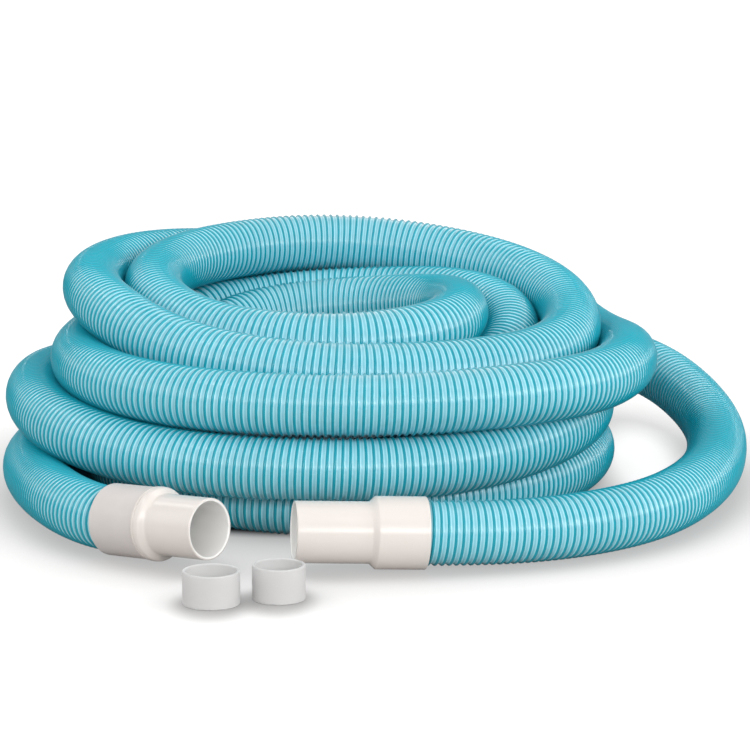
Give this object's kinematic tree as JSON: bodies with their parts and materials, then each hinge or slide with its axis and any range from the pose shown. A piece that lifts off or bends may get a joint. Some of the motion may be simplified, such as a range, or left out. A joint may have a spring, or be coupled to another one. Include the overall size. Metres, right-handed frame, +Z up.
{
  "type": "vacuum hose",
  "caption": "Coiled spiral-wound suction hose for pool and spa vacuums, with a swivel cuff, a fixed cuff and loose adapter sleeves.",
  "frame": {"origin": "on the floor, under the centre of the whole assembly's box", "axes": "+Z up, +Y from the cuffs at the front to the back of the coil, +X to the right seen from the cuffs"},
  "size_m": [0.5599, 0.6693, 0.174],
  "materials": {
    "hose": "satin spiral ribs, light blue over a darker turquoise wall",
    "sleeve": "matte warm off-white",
    "seal": "black rubber",
    "ring": "plain moulded",
    "cuff": "glossy warm white, moulded",
    "adapter": "frosted translucent"
  },
  "bodies": {
    "hose": {"hose_coil": "hose", "hose_tail_left": "hose", "hose_tail_right": "hose", "hose_end_left": "hose", "hose_end_right": "hose", "swivel_sleeve": "sleeve", "swivel_seal": "seal", "fixed_cuff": "cuff"},
    "nozzle": {"swivel_nozzle": "cuff", "swivel_retainer": "ring"},
    "left_adapter": {"adapter_left": "adapter"},
    "right_adapter": {"adapter_right": "adapter"}
  },
  "joints": [
    {"name": "swivel_turn", "type": "hinge", "parent": "hose", "child": "nozzle", "pos_m": [-0.1824, -0.1843, 0.025], "axis": [0.7637, -0.6408, 0.0785], "continuous": true},
    {"name": "left_adapter_lift", "type": "slide", "parent": "hose", "child": "left_adapter", "axis": [0, 0, 1], "range_m": [0, 0.05]},
    {"name": "right_adapter_lift", "type": "slide", "parent": "hose", "child": "right_adapter", "axis": [0, 0, 1], "range_m": [0, 0.05]}
  ]
}
